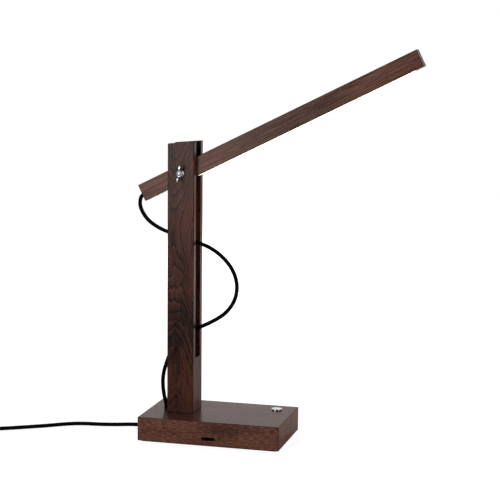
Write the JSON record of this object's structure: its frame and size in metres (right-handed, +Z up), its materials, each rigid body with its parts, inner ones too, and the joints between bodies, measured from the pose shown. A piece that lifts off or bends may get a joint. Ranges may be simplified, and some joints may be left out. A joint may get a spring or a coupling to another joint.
{
  "type": "table lamp",
  "caption": "Dark wooden table lamp: a block base, a slotted square post and a straight arm lit along its underside, which tilts on a bolt clamped by a wing nut.",
  "frame": {"origin": "middle of the base's footprint, on the table", "axes": "+X towards the arm's tip, +Y away from the wing nut, +Z up"},
  "size_m": [0.7718, 0.1731, 0.593],
  "materials": {
    "walnut": "dark walnut stain under a satin clear coat",
    "plate_steel": "plain sheet",
    "pad_rubber": "matte",
    "zinc": "bright zinc plating",
    "chrome": "bright chrome plating",
    "ballast_iron": "raw",
    "supply_plastic": "moulded",
    "board_green": "lacquered",
    "brass": "turned",
    "black_plastic": "moulded",
    "spring_steel": "drawn wire",
    "channel_aluminium": "extruded",
    "strip_white": "printed strip",
    "led_yellow": "phosphor",
    "diffuser_white": "frosted",
    "cord_black": "smooth sheath"
  },
  "bodies": {
    "base": {"base_block": "walnut", "base_plate": "plate_steel", "base_pad": "pad_rubber", "plate_screws": "zinc", "ballast_weight": "ballast_iron", "power_supply": "supply_plastic", "control_board": "board_green", "board_spacers": "brass", "board_screws": "zinc", "usb_socket": "black_plastic", "switch_body": "black_plastic", "switch_ring": "chrome", "switch_spring": "spring_steel", "base_cord_bush": "black_plastic", "post": "walnut", "post_screws": "zinc", "pivot_bolt": "zinc", "mains_gland": "black_plastic", "mains_cord": "cord_black", "mains_coil": "cord_black", "cord_tie": "black_plastic", "plug_body": "black_plastic", "plug_pins": "zinc", "arm_cord": "cord_black"},
    "button": {"button_cap": "chrome"},
    "clamp": {"front_washer": "zinc"},
    "nut": {"wing_nut": "zinc"},
    "lamp_arm": {"arm": "walnut", "arm_bush": "brass", "friction_washers": "black_plastic", "led_channel": "channel_aluminium", "led_strip": "strip_white", "led_chips": "led_yellow", "diffuser": "diffuser_white", "tail_bush": "black_plastic"}
  },
  "joints": [
    {"name": "arm_tilt", "type": "hinge", "parent": "base", "child": "lamp_arm", "pos_m": [-0.056, 0, 0.4055], "axis": [0, -1, 0], "range_deg": [-80, 60], "deforming": ["arm_cord"]},
    {"name": "clamp_slide", "type": "slide", "parent": "base", "child": "clamp", "axis": [0, -1, 0], "range_m": [0, 0.00125]},
    {"name": "wing_nut_turn", "type": "hinge", "parent": "clamp", "child": "nut", "pos_m": [-0.056, -0.0249, 0.4055], "axis": [0, -1, 0], "range_deg": [0, 450]},
    {"name": "switch_press", "type": "slide", "parent": "base", "child": "button", "axis": [0, 0, -1], "range_m": [0, 0.0015], "stiffness_N_per_m": 2000, "springref_m": -0.0005, "deforming": ["switch_spring"]}
  ],
  "couplings": [
    {"joint": "wing_nut_turn", "follows": "clamp_slide", "rad_per_m": 6283.2}
  ]
}
